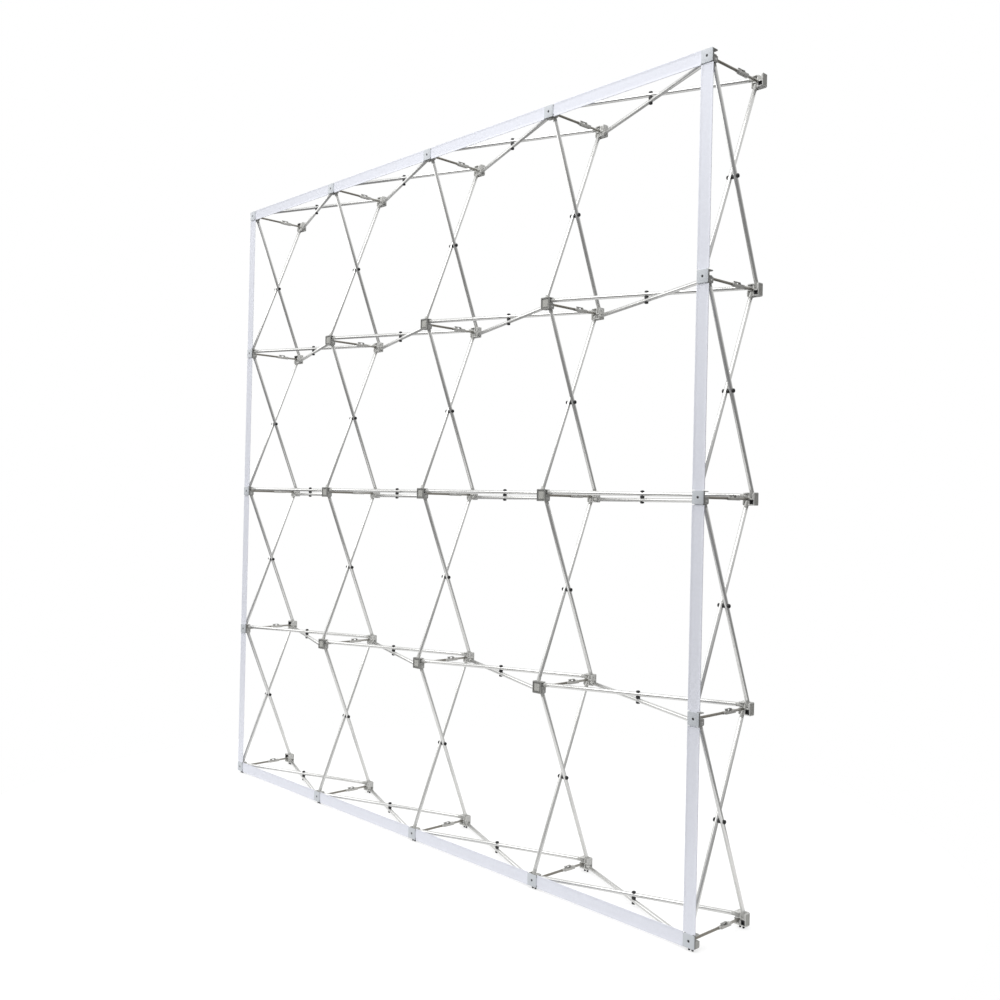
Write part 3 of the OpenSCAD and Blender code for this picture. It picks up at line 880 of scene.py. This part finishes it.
def model_end_fitting():
    """The moulded end of a bar: a flattened, rounded head on the hub rivet, a shoulder with
    a groove, and a plug."""
    head_r = BAR_R - 0.05 * MM
    groove_r = head_r - 0.6 * MM
    plug_r = BAR_R - BAR_WALL - FIT
    rings = [
        (-BAR_R, head_r),
        (FITTING_REACH - 4.5 * MM, head_r),
        (FITTING_REACH - 4 * MM, groove_r),
        (FITTING_REACH - 3 * MM, groove_r),
        (FITTING_REACH - 2.5 * MM, head_r),
        (FITTING_REACH, head_r),
        (FITTING_REACH, plug_r),
        (FITTING_REACH + PLUG_LEN, plug_r - 3 * FIT),
    ]
    fitting = turned(rings, 16, X)
    flat = BAR_R - 0.35 * MM
    wide, end = head_r + OVER, FITTING_REACH + PLUG_LEN + OVER
    keep = block((-head_r, -wide, -flat), (end, wide, flat))
    round_edges(keep, lambda a, b: max(a.x, b.x) < 0 and abs(a.z - b.z) > flat, head_r, 5)
    weld(fitting, keep, operation="INTERSECT")
    return smooth(fitting)


bar_tube, end_fitting = model_bar_tube(), model_end_fitting()
for number in LINES:
    for node, line in (
        (f"horizontal_bars_row_{number}", in_row(number)),
        (f"vertical_bars_column_{number}", in_column(number)),
    ):
        lay_out(f"drawn_{node}", bar_tube, bars_along(line), node, "bar_aluminium")
far_end = Matrix.Translation((BAR_LEN, 0, 0)) @ Matrix.Rotation(pi, 4, "Z")
bar_ends = [
    end
    for line in every_line()
    for place in bars_along(line)
    for end in (place, place @ far_end)
]
lay_out("moulded_end_fittings", end_fitting, bar_ends, "bar_end_fittings", "fitting_plastic")
put_away(bar_tube, end_fitting)


# ---- rivets and washers ----


def slot_used(row, column, turn, rear):
    """True where a hub has a bar or an end cap in the slot at this turn about its centre."""
    across = {0: column <= BAYS, 180: column > 1}
    down = {90: row <= BAYS, 270: row > 1}
    return rear or across[turn] if turn in across else down[turn]


rivet_rings = [
    (-SLOT_IN, RIVET_R),
    (EAR_OUT, RIVET_R),
    (EAR_OUT, RIVET_HEAD_R),
    (EAR_OUT + 0.4 * MM, RIVET_HEAD_R),
    (EAR_OUT + 0.9 * MM, RIVET_HEAD_R - 0.9 * MM),
    (EAR_OUT + RIVET_HEAD_T, RIVET_HEAD_R - 2.4 * MM),
]
hub_rivet = smooth(moved(turned(rivet_rings, 12), RIVET_OUT, RIVET_BACK, 0), 50)
rivet_places = [
    side(row, column) @ quarter_turn(turn)
    for row, column in HUBS
    for turn in range(0, 360, 90)
    for side, rear in ((at_front, False), (at_rear, True))
    if slot_used(row, column, turn, rear)
]
lay_out("domed_hub_rivets", hub_rivet, rivet_places, "hub_rivets", "rivet_steel")

half_rivet = [
    (CAP_FACE, PIVOT_R),
    (CAP_FACE, PIVOT_HEAD_R),
    (CAP_FACE + 0.3 * MM, PIVOT_HEAD_R),
    (CAP_FACE + 0.8 * MM, PIVOT_HEAD_R - 0.8 * MM),
    (CAP_FACE + PIVOT_HEAD_T, PIVOT_HEAD_R - 2.5 * MM),
]
other_half = [(-place, radius) for place, radius in reversed(half_rivet)]
pivot_rivet = smooth(turned(other_half + half_rivet, 16), 50)
crossings = [place for line in every_line() for place in crossings_along(line)]
lay_out("black_pivot_rivets", pivot_rivet, crossings, "pivot_rivets", "pivot_rivet_black")


def crossing_bar(side):
    """The bar that a spacer or cap wraps round, as it cuts its saddle."""
    bar = cylinder(BAR_R + FIT, -3 * BAR_R, 3 * BAR_R, 32, X)
    bar.data.transform(Matrix.Rotation(side * BAR_ANGLE, 4, "Z"))
    return moved(bar, 0, 0, side * BAR_OFF)


def model_pivot_washers():
    """The spacer between two crossing bars and a cap outside each, all with saddles."""
    half = BAR_GAP / 2 + SADDLE_DEEP
    spacer = eased_cylinder(SPACER_R, -half, half, 20, Z, ease=0.6 * MM)
    carve(spacer, crossing_bar(1), crossing_bar(-1))
    rings = [
        (BAR_OFF + BAR_R - SADDLE_DEEP, CAP_R),
        (CAP_FACE - 1.4 * MM, CAP_R),
        (CAP_FACE - 0.7 * MM, CAP_R - 0.4 * MM),
        (CAP_FACE - 0.05 * MM, CAP_R - 1.2 * MM),
    ]
    cap = turned(rings, 20)
    carve(cap, crossing_bar(1))
    other_cap = twin(cap, Matrix.Rotation(pi, 4, "X"))
    return smooth(gather([spacer, cap, other_cap], "washers"), 40)


pivot_washers = model_pivot_washers()
lay_out("moulded_pivot_washers", pivot_washers, crossings, "pivot_washers", "washer_black")
put_away(hub_rivet, pivot_rivet, pivot_washers)


# ---- lock struts ----


def model_rod(start, end):
    rod = unroll(eased_cylinder(ROD_R, start, end, 24, X))
    rod.data.transform(Matrix.Rotation(pi / 2, 4, "Z"))
    return smooth(rod, 50)


def model_catch():
    """A sleeve with two grooves on the front rod, and a fork round the catch pin."""
    start = FORK_FRONT - SLEEVE_LEN
    groove_r = SLEEVE_R - 0.5 * MM
    rings = [(start, SLEEVE_R - 0.8 * MM), (start + 1 * MM, SLEEVE_R)]
    for groove in (start + 2.6 * MM, start + 5.6 * MM):
        rings += [
            (groove, SLEEVE_R),
            (groove + 0.5 * MM, groove_r),
            (groove + 1.3 * MM, groove_r),
            (groove + 1.8 * MM, SLEEVE_R),
        ]
    rings += [(FORK_FRONT - 0.8 * MM, SLEEVE_R), (FORK_FRONT, SLEEVE_R - 0.6 * MM)]
    sleeve = turned(rings, 20, Y)
    fork = block(
        (-FORK_HALF, FORK_FRONT - 1 * MM, -FORK_HALF_H), (FORK_HALF, FORK_BACK, FORK_HALF_H)
    )
    tips = lambda a, b: min(a.y, b.y) > CATCH_BACK and abs(a.x - b.x) > FORK_HALF
    round_edges(fork, tips, 4 * MM, 4)
    gap = block(
        (-FORK_SLOT, FORK_FRONT + FORK_BRIDGE, -FORK_HALF_H - OVER),
        (FORK_SLOT, FORK_BACK + OVER, FORK_HALF_H + OVER),
    )
    carve(fork, gap)
    weld(sleeve, soften(fork, 0.3 * MM))
    return smooth(sleeve)


def model_housing():
    """A channel on the rear rod: low sides, cheeks round the lever's pivot, a closed block."""
    inner = HOUSING_BORE / 2
    outer = inner + HOUSING_WALL
    side_top = PIN_R + 1 * MM
    housing = block((-outer, HOUSING_FRONT, HOUSING_LOW), (outer, CHEEK_FRONT, side_top))
    rear = lambda mid, facing: facing.y > SQUARE_ON
    cheek_top = lambda mid, facing: facing.z > SQUARE_ON and mid.y > CHEEK_FRONT
    pull(housing, rear, (0, BLOCK_FRONT - CHEEK_FRONT, 0))
    pull(housing, rear, (0, HOUSING_BLOCK, 0))
    pull(housing, cheek_top, (0, 0, HOUSING_TOP - side_top))
    channel = block(
        (-inner, HOUSING_FRONT - 5 * OVER, HOUSING_LOW + HOUSING_WALL),
        (inner, BLOCK_FRONT, HOUSING_TOP + OVER),
    )
    carve(housing, channel)
    soften(housing, 0.5 * MM)
    carve(housing, cylinder(ROD_R + FIT, HOUSING_BACK - ROD_SEAT, HOUSING_BACK + OVER, 24, Y))
    return smooth(housing)


def model_lever():
    """The latch lever about its pivot: an arch with a hooked nose and a finger lip, on a
    leg that leans back to the barrel on the pin."""
    mouth_top = -LEVER_UP + PIN_R + HOOK_PLAY
    mouth_front = -HOOK_REACH - PIN_R - HOOK_PLAY
    front = mouth_front - 3.8 * MM
    heel = -HOOK_REACH + PIN_R + 3.3 * MM
    arch_under = ARCH_UP - 2.8 * MM
    nose_low = -LEVER_UP - 2.5 * MM
    leg_back = -BARREL_R - 1 * MM
    leg_front = leg_back - 3 * MM
    arch = block((-HOOK_HALF, front, mouth_top), (HOOK_HALF, heel, ARCH_UP))
    slice_across(arch, (0, 0, arch_under), Z)
    slice_across(arch, (0, mouth_front, 0), Y)
    arch_rear = lambda mid, facing: facing.y > SQUARE_ON and mid.z > arch_under
    nose_under = lambda mid, facing: facing.z < -SQUARE_ON and mid.y < mouth_front
    arch_front = lambda mid, facing: facing.y < -SQUARE_ON and mid.z > arch_under
    pull(arch, arch_rear, (0, leg_back - heel, 0))
    pull(arch, nose_under, (0, 0, nose_low - mouth_top))
    pull(arch, arch_front, (0, -LIP_LEN, 0.5 * MM), taper=(0.9, 1, 0.55))
    soften(arch, 0.45 * MM)
    barrel = eased_cylinder(BARREL_R, -LEVER_HALF, LEVER_HALF, 28, X)
    foot_back = 0.5 * MM
    lean = (leg_front + BARREL_R) / arch_under
    slope = (leg_back - foot_back) / (ARCH_UP - BARREL_R)
    leg = block((-LEVER_HALF, -BARREL_R, 0), (LEVER_HALF, foot_back, BARREL_R))
    with picked(leg, "EDGE", lambda a, b: max(a.y, b.y) < 0 and min(a.z, b.z) > 1 * MM):
        bpy.ops.transform.translate(value=(0, lean * BARREL_R, 0))
    below, near, far = BARREL_R, lean * BARREL_R - BARREL_R, foot_back
    for height, next_far in (
        (arch_under, foot_back + slope * (arch_under - BARREL_R)),
        (ARCH_UP, leg_back),
    ):
        pull(
            leg,
            lambda mid, facing: facing.z > SQUARE_ON,
            (0, (leg_front + next_far - near - far) / 2, height - below),
            taper=(1, (next_far - leg_front) / (far - near), 1),
        )
        below, near, far = height, leg_front, next_far
    weld(barrel, soften(leg), arch)
    carve(barrel, cylinder(PIN_R + FIT, -LEVER_HALF - OVER, LEVER_HALF + OVER, 20, X))
    return smooth(barrel)


def model_pin(half):
    return smooth(eased_cylinder(PIN_R, -half, half, 16, X), 50)


front_rod = model_rod(SOCKET_FLOOR, FORK_FRONT)
rear_rod = model_rod(HOUSING_BACK - ROD_SEAT, FRAME_DEPTH - SOCKET_FLOOR)
catch, housing, lever = model_catch(), model_housing(), model_lever()
catch_pin = moved(model_pin(FORK_HALF), 0, CATCH_BACK, 0)
lever_pin = moved(model_pin(HOUSING_BORE / 2 + HOUSING_WALL + 0.5 * MM), 0, LEVER_Y, LEVER_UP)
pins = gather([catch_pin, lever_pin], "pins")
hub_places = [at_front(row, column) for row, column in HUBS]
for name, pattern, node, slot in (
    ("dark_front_lock_rods", front_rod, "front_lock_rods", "front_rod_dark"),
    ("bright_rear_lock_rods", rear_rod, "rear_lock_rods", "rear_rod_aluminium"),
    ("moulded_latch_catches", catch, "latch_catches", "latch_plastic"),
    ("moulded_latch_housings", housing, "latch_housings", "latch_plastic"),
    ("plain_latch_pins", pins, "latch_pins", "rivet_steel"),
):
    lay_out(name, pattern, hub_places, node, slot)
to_pivot = Matrix.Translation((0, LEVER_Y, LEVER_UP))
for row, column in HUBS:
    key = f"lever_row_{row}_column_{column}"
    piece = twin(lever, at_front(row, column) @ to_pivot)
    piece.name = f"moulded_{key}"
    dress(piece, f"latch_{key}", "lever_plastic", key)
put_away(front_rod, rear_rod, catch, housing, lever, pins)


# ---- edge bands ----


def model_band():
    """A band of woven tape along X from the first hub's centre, with thicker selvedges and
    a narrower tongue at each end that the clamp plate grips."""
    end = PITCH - BAND_START
    half = BAND_W / 2
    selvedge = 3.5 * MM
    strips = 16
    band = block((BAND_START, BAND_FRONT, -half), (end, 0, half))
    for side in (-1, 1):
        slice_across(band, (0, 0, side * TONGUE_HALF), Z)
    grip = BAND_START - (HUB_HALF - TONGUE_GRIP)
    for side in (-1, 1):
        at_end = lambda mid, facing: facing.x * side > SQUARE_ON and abs(mid.z) < TONGUE_HALF
        pull(band, at_end, (side * grip, 0, 0))
    for side in (-1, 1):
        slice_across(band, (0, 0, side * (half - selvedge)), Z)
    between = lambda mid, facing: abs(facing.y) > SQUARE_ON and abs(mid.z) < half - selvedge
    with picked(band, "FACE", between):
        bpy.ops.mesh.inset(thickness=0.8 * MM, depth=-0.35 * MM)
    for step in range(1, strips):
        slice_across(band, (BAND_START + step * (end - BAND_START) / strips, 0, 0), X)
    soften(band, 0.3 * MM, degrees=60)
    return smooth(band, 40)


def lay_flat_map(piece, across, along):
    """Writes a flat piece's UV map in metres from two of its mesh coordinates."""
    surface = piece.data.uv_layers.active or piece.data.uv_layers.new(name="UVMap")
    for corner in piece.data.loops:
        point = piece.data.vertices[corner.vertex_index].co
        surface.data[corner.index].uv = (point[across], point[along])
    return piece


band = lay_flat_map(model_band(), 0, 2)
band_places = []
for bay in range(1, BAYS + 1):
    band_places += [
        (f"top_{bay}", at_front(1, bay)),
        (f"bottom_{bay}", at_front(BAYS + 1, bay)),
        (f"left_{bay}", at_front(bay, 1) @ quarter_turn(90)),
        (f"right_{bay}", at_front(bay, BAYS + 1) @ quarter_turn(90)),
    ]
for name, place in band_places:
    piece = twin(band, place)
    piece.name = f"woven_band_{name}"
    dress(piece, "edge_bands", "band_fabric")
put_away(band)


def model_clamp_plate():
    """A square plate with a raised seat behind, and a recess for its screw's head."""
    plate = block((-HUB_HALF, CLAMP_FRONT, -HUB_HALF), (HUB_HALF, BAND_FRONT, HUB_HALF))
    round_edges(plate, lambda a, b: abs(a.y - b.y) > CLAMP_T / 2, HUB_CORNER, 4)
    round_edges(plate, lambda a, b: max(a.y, b.y) < CLAMP_FRONT + CLAMP_T / 2, 0.6 * MM, 3)
    seat_r = HUB_HALF - TONGUE_GRIP - 4 * MM
    weld(plate, cylinder(seat_r, BAND_FRONT - 1 * MM, RECESS_DEEP, 32, Y))
    head_r = SCREW_HEAD_R + 2 * FIT
    hole = [
        (CLAMP_FRONT - OVER, SCREW_HEAD_R + 1.6 * MM),
        (CLAMP_FRONT + 0.5 * MM, head_r),
        (CLAMP_FRONT + SCREW_RECESS, head_r),
        (CLAMP_FRONT + SCREW_RECESS, SCREW_R + FIT),
        (RECESS_DEEP + OVER, SCREW_R + FIT),
    ]
    carve(plate, turned(hole, 28, Y))
    return smooth(plate)


def model_clamp_screw():
    """A screw with a domed head and a cross recess."""
    front = CLAMP_FRONT + 0.2 * MM
    back = CLAMP_FRONT + SCREW_RECESS
    rings = [
        (front, SCREW_HEAD_R - 1.6 * MM),
        (front + 0.25 * MM, SCREW_HEAD_R - 0.7 * MM),
        (front + 0.7 * MM, SCREW_HEAD_R),
        (back, SCREW_HEAD_R),
        (back, SCREW_R),
        (SOCKET_FLOOR - 1 * MM, SCREW_R),
    ]
    screw = turned(rings, 24, Y)
    long, short, deep = 2.4 * MM, 0.5 * MM, 1 * MM
    for half_x, half_z in ((long, short), (short, long)):
        blade = block((-half_x, front - OVER, -half_z), (half_x, front + deep, half_z))
        carve(screw, blade)
    return smooth(screw, 40)


def model_pad(half_wide, half_high, thick):
    """A piece of loop cloth that faces -Y, with its front edges drawn back a little."""
    pad = block((-half_wide, -thick, -half_high), (half_wide, 0, half_high))
    round_edges(pad, lambda a, b: abs(a.y - b.y) > thick / 2, PAD_CORNER, 3)
    with picked(pad, "FACE", lambda mid, facing: facing.y < -SQUARE_ON):
        bpy.ops.mesh.inset(thickness=0.8 * MM, depth=0)

    def on_front_rim(a, b):
        out = max(abs(a.x) - half_wide, abs(b.x) - half_wide)
        out = max(out, abs(a.z) - half_high, abs(b.z) - half_high)
        return max(a.y, b.y) < 0.1 * MM - thick and out > -0.4 * MM

    with picked(pad, "EDGE", on_front_rim):
        bpy.ops.transform.translate(value=(0, 0.35 * MM, 0))
    return smooth(lay_flat_map(pad, 0, 2), 60)


def lay_pad(pattern, name, place):
    piece = twin(pattern, place)
    piece.name = name
    dress(piece, "loop_pads", "pad_fabric")


def model_foot():
    """A rubber stud with a groove round its side and a stem in the hub's web."""
    base = -EAR_OUT
    groove_r = FOOT_R - 0.5 * MM
    rings = [
        (base - FOOT_H, FOOT_R - 0.9 * MM),
        (base - FOOT_H + 0.7 * MM, FOOT_R - 0.1 * MM),
        (base - 4.6 * MM, FOOT_R),
        (base - 4.2 * MM, groove_r),
        (base - 3.2 * MM, groove_r),
        (base - 2.8 * MM, FOOT_R),
        (base, FOOT_R),
        (base, FOOT_R / 2),
        (base + EAR_T - 0.2 * MM, FOOT_R / 2),
    ]
    return smooth(turned(rings, 20), 40)


edge_places = [at_front(row, column) for row, column in HUBS if on_edge(row, column)]
clamp_plate, clamp_screw, foot = model_clamp_plate(), model_clamp_screw(), model_foot()
lay_out("moulded_clamp_plates", clamp_plate, edge_places, "band_clamp_plates", "clamp_plastic")
lay_out("cross_head_screws", clamp_screw, edge_places, "clamp_screws", "screw_steel")
foot_places = [
    place(BAYS + 1, column) @ Matrix.Translation((side * FOOT_SPREAD / 2, FOOT_BACK, 0))
    for column in LINES
    for side in (-1, 1)
    for place in (at_front, at_rear)
]
lay_out("ribbed_rubber_feet", foot, foot_places, "rubber_feet", "foot_rubber")

face_pad = model_pad(PAD_HALF, PAD_HALF, PAD_T)
in_recess = Matrix.Translation((0, RECESS_DEEP, 0))
for row, column in HUBS:
    if not on_edge(row, column):
        lay_pad(
            face_pad,
            f"loop_pad_row_{row}_column_{column}",
            at_front(row, column) @ in_recess,
        )
end_half_wide = HUB_DEEP / 2 - END_PAD_RIM - PAD_PLAY
end_half_high = HUB_HALF - END_PAD_RIM - PAD_PLAY
end_pad = model_pad(end_half_wide, end_half_high, END_PAD_T)
on_cap = Matrix.Translation((END_RECESS_FLOOR, HUB_DEEP / 2, 0)) @ Matrix.Rotation(pi / 2, 4, "Z")
for end, place in rear_ends():
    lay_pad(
        end_pad,
        f"loop_pad_end_{end}",
        place @ on_cap,
    )
put_away(clamp_plate, clamp_screw, foot, face_pad, end_pad)


# ---- floor, light and camera ----

FLOOR_R = 2.2
FLOOR_TONE = 0.8
# What the camera and mirrors see of the floor: a little of its light and shadow, on a glow
SHOWN_TONE = 0.4
SHOWN_GLOW = 0.66
# The room is brightest along this direction and falls to its dimmest past these slopes
BRIGHT_SIDE = (-0.15, 0.15, 0.977)
DIM_SLOPE, BRIGHT_SLOPE = -0.55, 0.65
DIMMEST = 0.3
ROOM_LIGHT = 0.87
CAMERA_PLACE = (3.58647, -3.04396, 1.47434)
CAMERA_TURN = (90.3102, -1.2607, 46.8302)


def grey(tone):
    return (tone, tone, tone, 1)


def seen_directly(tree):
    """Light Path's outputs, and 1 where the camera looks straight or through glass."""
    ray = node_in(tree, "ShaderNodeLightPath").outputs
    return ray, maths(tree, "MAXIMUM", ray["Is Camera Ray"], ray["Is Transmission Ray"])


def add_floor():
    """A round pale floor sheet, which turns white to the camera and in reflections but
    keeps the shadow of the frame."""
    deselect()
    bpy.ops.mesh.primitive_circle_add(vertices=96, radius=FLOOR_R, fill_type="NGON")
    floor = settle(bpy.context.object)
    floor.name = "studio_floor"
    material, tree, shader = new_material("pale studio floor")
    tree.nodes.remove(shader)
    ray, clear = seen_directly(tree)
    seen = maths(tree, "MAXIMUM", clear, ray["Is Glossy Ray"])
    pale = node_in(tree, "ShaderNodeBsdfDiffuse", {"Color": grey(FLOOR_TONE)}).outputs[0]
    faint = node_in(tree, "ShaderNodeBsdfDiffuse", {"Color": grey(SHOWN_TONE)}).outputs[0]
    light = {"Color": grey(1), "Strength": SHOWN_GLOW}
    glow = node_in(tree, "ShaderNodeEmission", light).outputs[0]
    white = node_in(tree, "ShaderNodeAddShader", {0: faint, 1: glow}).outputs[0]
    shown = node_in(tree, "ShaderNodeMixShader", {0: seen, 1: pale, 2: white}).outputs[0]
    tree.links.new(shown, tree.nodes["Material Output"].inputs["Surface"])
    floor.data.materials.append(material)
    floor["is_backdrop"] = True


def add_studio_room():
    """A white room, which mirrors see darker away from its bright side, and which lights
    matt surfaces with that shade squared."""
    world = bpy.data.worlds.new("studio room")
    bpy.context.scene.world = world
    world.use_nodes = True
    tree = world.node_tree
    tree.nodes.clear()
    ray, clear = seen_directly(tree)
    direction = coordinates(tree, "Generated")
    slope = vector_maths(tree, "DOT_PRODUCT", {0: direction, 1: BRIGHT_SIDE}, "Value")
    shade = ramp(
        tree, slope, DIM_SLOPE, BRIGHT_SLOPE, DIMMEST, 1.0, interpolation_type="SMOOTHSTEP"
    )
    matt = maths(tree, "MULTIPLY", maths(tree, "MULTIPLY", shade, shade), ROOM_LIGHT)
    light = blend(tree, ray["Is Glossy Ray"], matt, shade)
    light = blend(tree, clear, light, 1.0)
    room = node_in(tree, "ShaderNodeBackground", {"Color": grey(1), "Strength": light})
    node_in(tree, "ShaderNodeOutputWorld", {"Surface": room.outputs[0]})


def add_softbox(name, place, aim, size, power):
    lamp = bpy.data.lights.new(name, "AREA")
    lamp.shape = "RECTANGLE"
    lamp.size, lamp.size_y = size
    lamp.energy = power
    holder = bpy.data.objects.new(name, lamp)
    holder.location = place
    holder.rotation_euler = (Vector(place) - Vector(aim)).to_track_quat("Z", "Y").to_euler()
    bpy.context.collection.objects.link(holder)


def add_camera():
    """The photograph's view, from a camera fitted to its hubs and bar crossings."""
    camera = bpy.data.cameras.new("photo view")
    camera.sensor_width = 36
    camera.lens = 38.16
    camera.shift_y = -0.0036
    camera.clip_end = 200
    holder = bpy.data.objects.new("photo_view", camera)
    holder.location = CAMERA_PLACE
    holder.rotation_euler = [radians(turn) for turn in CAMERA_TURN]
    bpy.context.collection.objects.link(holder)
    bpy.context.scene.camera = holder


add_floor()
add_studio_room()
add_softbox("left_softbox", place=(-4.4, -3.0, 3.4), aim=(0, 0, 1.6), size=(9, 3.4), power=140)
add_softbox("top_softbox", place=(1.0, -2.4, 5.2), aim=(1.0, 0, 2.2), size=(4, 3), power=130)
add_camera()
bpy.context.scene.view_settings.view_transform = "Standard"

for corners in (cad_box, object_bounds()):
    json.dumps([[round(float(v), 5) for v in corner] for corner in corners])
